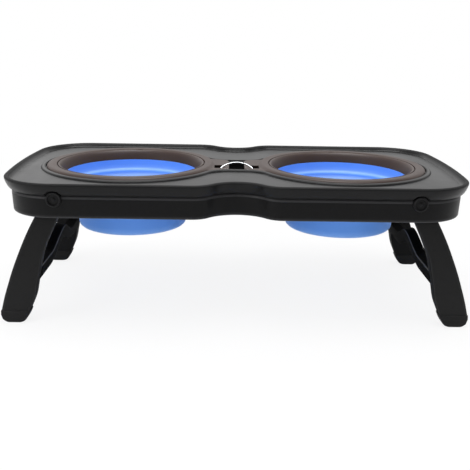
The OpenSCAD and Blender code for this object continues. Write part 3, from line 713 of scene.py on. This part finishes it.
def makeBail(spec):
    # end, small bend, straight side, corner arc and crown arc, mirrored in x and leaned back
    sideRun = spec["half"] - spec["corner"]
    turn = np.radians(spec["turn"])
    bend = sideRun / np.cos(turn) + spec["corner"]
    low = spec["length"] - bend
    start = low + sideRun * np.tan(turn)
    small = spec["endBend"]
    endCount, smallCount, sideCount, cornerCount, crownCount = spec["points"]
    half = np.vstack([
        np.column_stack([np.linspace(spec["end"], spec["half"] + small, endCount), np.zeros(endCount)]),
        arcPoints((spec["half"] + small, small), small, 270, 180, smallCount)[1:],
        np.column_stack([np.full(sideCount - 2, spec["half"]), np.linspace(small, start, sideCount)[1:-1]]),
        arcPoints((sideRun, start), spec["corner"], 0, spec["turn"], cornerCount),
        arcPoints((0, low), bend, spec["turn"], 90, crownCount)[1:],
    ])
    flat = np.vstack([half, (half * (-1, 1))[-2::-1]])
    lean = np.radians(spec["rest"])
    across, along = flat.T
    path = np.column_stack([across, spec["y"] + along * np.cos(lean), spec["z"] + along * np.sin(lean)])
    wire = tubeRows(path, spec["radius"], (0, -np.sin(lean), np.cos(lean)))
    addPiece("carryWire", [(wire, False)], finishes["wire"], "bail", ["carry_bail"], spec["sharp"])


makeBail(bail)
print("bail made")


# legs: sections stacked in height, broad faces with a wide outer bevel and a hollow on the inner side
leg = {
    "pivotX": tray["pinX"], "pivotZ": tray["pinZ"], "face": 95.5, "thick": 13, "eye": 8.2, "eyeOut": 0.6,
    "levels": (0, 20, 36.5, 53, 68.5, 81.2, 93.5, 106.9), "inner": (-8, 0.5, 8.5, 15.3, 18.9, 21.7, 24.4, 30),
    "outer": (9, 20.8, 29.4, 36.8, 43.1, 47.6, 51.7, 55.4), "stub": 110.5, "stubIn": 2.5, "stubOut": 0.8,
    "rows": 44, "eyeArc": (82, 8, 7), "sharp": 50, "wall": 3, "hollow": 9.6, "pocket": (21.5, 51.5), "slope": 0.7,
    "wallSteps": ((-0.4, 0, 0), (0, 1, 0.4), (0.2, 0.92, 99), (0.8, 1, 99)),
    "bevel": (2.6, 1.4), "faceEdge": 1.0, "backEdge": 0.8, "backBevel": (1.2, 1.0),
    "faceWear": 0.17, "edgeWear": 0.1, "innerWearAndHighlight": 0.25, "wearAbove": 0.8, "wearBelow": 0.7,
}


def legShell(side, sideY):
    # a half circle over the pivot, then cubics through the side lines' levels; each row is a section between them
    levels = np.array(leg["levels"], float)
    inner, outer = np.array(leg["inner"], float), np.array(leg["outer"], float)
    (high, low), slope = leg["pocket"], leg["slope"]
    eye, pivotZ, wall, thick = leg["eye"], leg["pivotZ"], leg["wall"], leg["thick"]
    drop = np.unique(np.r_[np.linspace(0, levels[-1], leg["rows"]), high - slope, high, low, low + slope])
    turn = np.radians(np.linspace(*leg["eyeArc"]))
    xIn = np.r_[-eye * np.cos(turn), smoothLine(levels, inner, drop), inner[-1] + leg["stubIn"]]
    xOut = np.r_[eye * np.cos(turn) + leg["eyeOut"], smoothLine(levels, outer, drop), outer[-1] - leg["stubOut"]]
    z = pivotZ - np.r_[-eye * np.sin(turn), drop, leg["stub"]]
    # the hollow fades out over a short slope at both ends of the pocket
    room = np.minimum(z - pivotZ + low + slope, pivotZ - high + slope - z)
    deep = leg["hollow"] * np.clip(room / slope, 0, 1)
    columns, wearAndHighlight = [], []

    def corner(x, depth, radiusX, radiusY, start, count, mark, before, after):
        # quarter ellipse of the section, its edge mark strongest half way round, between the wear of the faces it
        # joins
        for share in np.linspace(0, 1, count):
            angle = np.radians(start + 90 * share)
            columns.append((x + radiusX * np.cos(angle), depth + radiusY * np.sin(angle) + 0 * x))
            wearAndHighlight.append(before + (after - before) * share + mark * np.sin(np.pi * share))

    worn, edgeWorn = leg["faceWear"], leg["edgeWear"]
    (bevelX, bevelY), (backX, backY) = leg["bevel"], leg["backBevel"]
    near, far = leg["faceEdge"], leg["backEdge"]
    corner(xOut - bevelX, thick - bevelY, bevelX, bevelY, 0, 7, edgeWorn, worn, worn)
    # the inner front edge's mark is wear and a painted highlight line
    corner(xIn + near, thick - near, near, near, 90, 5, leg["innerWearAndHighlight"], worn, 0)
    corner(xIn + far, far, far, far, 180, 5, edgeWorn, 0, worn / 2)
    # walls of the hollow: distance beyond the wall, share of the depth, and its limit
    for edgeX, way, steps in ((xIn, 1, leg["wallSteps"]), (xOut, -1, leg["wallSteps"][::-1])):
        for beyond, share, cap in steps:
            columns.append((edgeX + way * (wall + beyond), np.minimum(deep * share, cap)))
            wearAndHighlight.append(worn / 2)
    corner(xOut - backX, backY, backX, backY, 270, 5, edgeWorn, worn / 2, worn)
    x = np.stack([column[0] for column in columns], axis=1)
    depth = np.stack([column[1] for column in columns], axis=1)
    y = sideY * (leg["face"] - thick + depth)
    points = np.stack([side * (leg["pivotX"] + x), y, z[:, None] + 0 * x], axis=-1)
    # wear grows towards the floor
    growth = leg["wearAbove"] + leg["wearBelow"] * np.clip((pivotZ - z) / pivotZ, 0, 1)
    return points, np.outer(growth, wearAndHighlight)


bar = {
    "x": 15.6, "top": 65.5, "rise": 14, "height": 13.5, "thick": 10.5, "half": 45, "straight": 60, "reach": 84.5,
    "lean": 11, "round": 1.2, "rows": 61, "cornerPoints": 6, "sharp": 50, "highlightTo": 10, "highlightRun": 20,
}


def barShell(side):
    # rounded rectangle carried along the depth; its height follows a squared cosine over the middle
    half, count = bar["half"], bar["cornerPoints"]
    arch = np.linspace(-half, half, bar["rows"])
    y = np.r_[-bar["reach"], -bar["straight"], arch, bar["straight"], bar["reach"]]
    rise = np.where(np.abs(y) < half, bar["rise"] * np.cos(np.pi / 2 * y / half)**2, 0) - bar["rise"]
    section = roundLoop(0, bar["thick"], -bar["height"], 0, bar["round"], count)
    across, up = np.broadcast_arrays(section[None, :, 0], section[None, :, 1] + rise[:, None])
    lean = np.radians(bar["lean"])
    x = leg["pivotX"] + bar["x"] + across * np.cos(lean) - up * np.sin(lean)
    z = bar["top"] + across * np.sin(lean) + up * np.cos(lean)
    # a painted highlight along the upper inner edge of the near half only
    edge = np.r_[np.zeros(count), np.sin(np.linspace(0, np.pi, count)), np.zeros(2 * count)]
    wearAndHighlight = edge * np.clip((bar["highlightTo"] - y) / bar["highlightRun"], 0, 1)[:, None]
    return np.stack([side * x, np.broadcast_to(y[:, None], x.shape), z], axis=-1), wearAndHighlight


boot = {
    "baseX": 188, "height": 11.6, "proud": 1, "round": 2.4, "rows": 15, "sideDraw": 0.5, "wear": 0.3, "sharp": 50,
    "inner": ((0, 7.6), (0.05, 6.2), (0.12, 4.9), (0.26, 3.4), (0.56, 1.3), (0.88, -0.4), (1, -0.8)),
    "outer": ((0, 21.3), (0.28, 25), (0.64, 26.3), (1, 26)),
    "draw": ((0, 1.7), (0.03, 0.8), (0.09, 0.25), (0.18, 0), (0.93, 0), (0.975, 0.15), (1, 0.6)),
}


def bootShell(side, sideY):
    # rounded rectangles stacked in height between the boot's two side lines, drawn in at sole and mouth
    level = np.unique(np.r_[np.linspace(0, 1, boot["rows"]), [share for share, inset in boot["draw"]]])
    inner, outer, draw = (np.interp(level, *np.array(boot[key]).T) for key in ("inner", "outer", "draw"))
    front, back = leg["face"] - leg["thick"] - boot["proud"], leg["face"] + boot["proud"]
    aside = draw * boot["sideDraw"]
    near, far = boot["baseX"] + inner + aside, boot["baseX"] + outer - aside
    rows = [(roundLoop(xLow, xHigh, front + d, back - d, boot["round"]), boot["height"] * share, boot["wear"])
            for share, xLow, xHigh, d in zip(level, near, far, draw)]
    points, wearAndHighlight = plainRows(rows)
    return points * (side, sideY, 1), wearAndHighlight


for side, name in sides:
    shells = [(legShell(side, -1), False), (legShell(side, 1), False)]
    body, frameNode = name + "_legs", [name + "_leg_frame"]
    addPiece(name + "LegPair", shells, finishes["leg"], body, frameNode, leg["sharp"])
    addPiece(name + "CrossBar", [(barShell(side), False)], finishes["bar"], body, frameNode,
             bar["sharp"])
    for sideY, end in ends:
        addPiece(name + end.capitalize() + "Boot", [(bootShell(side, sideY), False)], finishes["foot"], body,
                 ["_".join((name, end, "foot"))], boot["sharp"])
print("legs and boots made")


# pivot pins: dished head with a raised middle, shank and clip groove, turned about the pivot's line
pin = {
    "face": 103.5, "columns": 56, "sharp": 40,
    "profile": [(0.4, 1.9, 0.4), (1.1, 1.86, 0.6), (1.5, 1.6, 0.4), (1.7, 1.15, 0), (2.2, 1, 0), (4.2, 1, 0),
                (4.65, 1.15, 0), (4.9, 1.7, 0), (5.1, 2.25, 0.6), (5.45, 2.45, 1), (5.9, 2.5, 1), (6.3, 2.35, 1),
                (6.5, 1.9, 0.6), (6.5, 0.02, 0), (3, 0, 0), (3, -21.2, 0), (2.5, -21.3, 0), (2.5, -22.3, 0),
                (3, -22.4, 0), (2.8, -23.4, 0), (0.4, -23.5, 0)],
}
for side, name in sides:
    for sideY, end in ends:
        turn = [(1, 0, 0), (0, 0, sideY), (0, -sideY, 0)]
        place = side * leg["pivotX"], sideY * pin["face"], leg["pivotZ"]
        shank = moved(turnedRows(pin["profile"], pin["columns"]), turn, place)
        addPiece(name + end.capitalize() + "Pin", [(shank, False)], finishes["pin"], "stand",
                 ["_".join((name, end, "pin"))], pin["sharp"])
print("pins made")


# hidden hardware keeps its solids
for node, finish in (("deck_screws", "zinc"), ("pin_clips", "zinc"), ("pivot_washers", "washer")):
    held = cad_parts[node]
    held.data.materials.clear()
    held.data.materials.append(finishes[finish])


# studio: pale floor, bright surroundings behind, soft lamps above
studio = {
    "floorHalf": 9, "floorDrop": 0.0002, "floorTone": 0.9, "floorRough": 0.9, "floorShine": 0.1,
    "floorGlow": 0.85, "glowNear": 0.35, "glowFar": 0.8,
    "frontY": -0.6, "rearY": 0.5, "frontTone": 0.12, "rearTone": 0.88,
    "lowZ": 0.14, "highZ": 0.26, "lowShare": 0.78, "highShare": 1.4, "diffuseTone": 0.85,
    "lamps": (
        {"name": "overhead", "place": (0, -0.1, 1.3), "aim": (0, 0, 0), "size": (0.7, 0.7), "power": 7,
         "matte": True},
        {"name": "strip", "place": (0, -0.1, 1.3), "aim": (0, 0, 0), "size": (0.9, 0.26), "power": 18,
         "matte": False},
        {"name": "frontLeft", "place": (-1.3, -0.9, 0.8), "aim": (0, 0, 0.08), "size": (0.7, 0.7), "power": 5,
         "matte": True},
        {"name": "behind", "place": (-0.9, 1.5, 0.75), "aim": (0, 0, 0.13), "size": (0.8, 0.8), "power": 0.9,
         "matte": True},
    ),
}


def makeFloor(spec):
    half, drop = spec["floorHalf"], spec["floorDrop"]
    mesh = bpy.data.meshes.new("studioFloor")
    mesh.from_pydata([(-half, -half, -drop), (half, -half, -drop), (half, half, -drop), (-half, half, -drop)],
                     [], [(0, 1, 2, 3)])
    floor = bpy.data.objects.new("studioFloor", mesh)
    scene.collection.objects.link(floor)
    paper = bpy.data.materials.new("studioPaper")
    paper.use_nodes = True
    tree = paper.node_tree
    shader = tree.nodes["Principled BSDF"]
    tone = spec["floorTone"]
    shader.inputs["Base Color"].default_value = (tone, tone, tone, 1)
    shader.inputs["Roughness"].default_value = spec["floorRough"]
    shader.inputs["Specular IOR Level"].default_value = spec["floorShine"]
    glow = addNode(tree, "ShaderNodeEmission", {"Strength": 1.0})
    seen = addNode(tree, "ShaderNodeLightPath").outputs["Is Camera Ray"]
    blend = addNode(tree, "ShaderNodeMixShader")
    # the paper shines through for the camera, partly under the object and wholly further off
    reach = addNode(tree, "ShaderNodeVectorMath", operation="LENGTH")
    tree.links.new(addNode(tree, "ShaderNodeTexCoord").outputs["Object"], reach.inputs[0])
    share = rangeNode(tree, reach.outputs["Value"], spec["glowNear"], spec["glowFar"], spec["floorGlow"], 1.0)
    tree.links.new(mathNode(tree, "MULTIPLY", seen, share), blend.inputs[0])
    tree.links.new(shader.outputs[0], blend.inputs[1])
    tree.links.new(glow.outputs[0], blend.inputs[2])
    tree.links.new(blend.outputs[0], tree.nodes["Material Output"].inputs["Surface"])
    mesh.materials.append(paper)


def makeWorld(spec):
    # white where the camera looks; mirrors see a bright back, brighter higher up, and a darker front;
    # soft even light for the rest
    world = bpy.data.worlds.new("studioWorld")
    scene.world = world
    world.use_nodes = True
    tree = world.node_tree
    back = tree.nodes["Background"]
    back.inputs["Color"].default_value = (1, 1, 1, 1)
    way = addNode(tree, "ShaderNodeSeparateXYZ")
    tree.links.new(addNode(tree, "ShaderNodeTexCoord").outputs["Generated"], way.inputs[0])
    seen = addNode(tree, "ShaderNodeLightPath")
    gloss = rangeNode(tree, way.outputs["Y"], spec["frontY"], spec["rearY"], spec["frontTone"], spec["rearTone"])
    lift = rangeNode(tree, way.outputs["Z"], spec["lowZ"], spec["highZ"], spec["lowShare"], spec["highShare"])
    gloss = mathNode(tree, "MULTIPLY", gloss, lift)
    shiny = mathNode(tree, "MAXIMUM", seen.outputs["Is Glossy Ray"], seen.outputs["Is Transmission Ray"])
    soft = mathNode(tree, "MULTIPLY", mathNode(tree, "SUBTRACT", 1.0, shiny), spec["diffuseTone"])
    level = mathNode(tree, "ADD", soft, mathNode(tree, "MULTIPLY", shiny, gloss))
    tree.links.new(mathNode(tree, "MAXIMUM", level, seen.outputs["Is Camera Ray"]), back.inputs["Strength"])


def makeLamps(spec):
    # area lamps turned from their places to their aims; one that isn't matte only makes highlights
    for look in spec["lamps"]:
        data = bpy.data.lights.new(look["name"], "AREA")
        data.shape, data.energy = "RECTANGLE", look["power"]
        data.size, data.size_y = look["size"]
        lamp = bpy.data.objects.new(look["name"], data)
        lamp.visible_diffuse = look["matte"]
        away = np.array(look["place"]) - np.array(look["aim"])
        away = away / np.linalg.norm(away)
        side = np.cross((0, 1, 0), away)
        side = side / np.linalg.norm(side)
        lamp.matrix_world = poseOf(side, np.cross(away, side), away, look["place"])
        scene.collection.objects.link(lamp)


makeFloor(studio)
makeWorld(studio)
makeLamps(studio)
print("studio made")
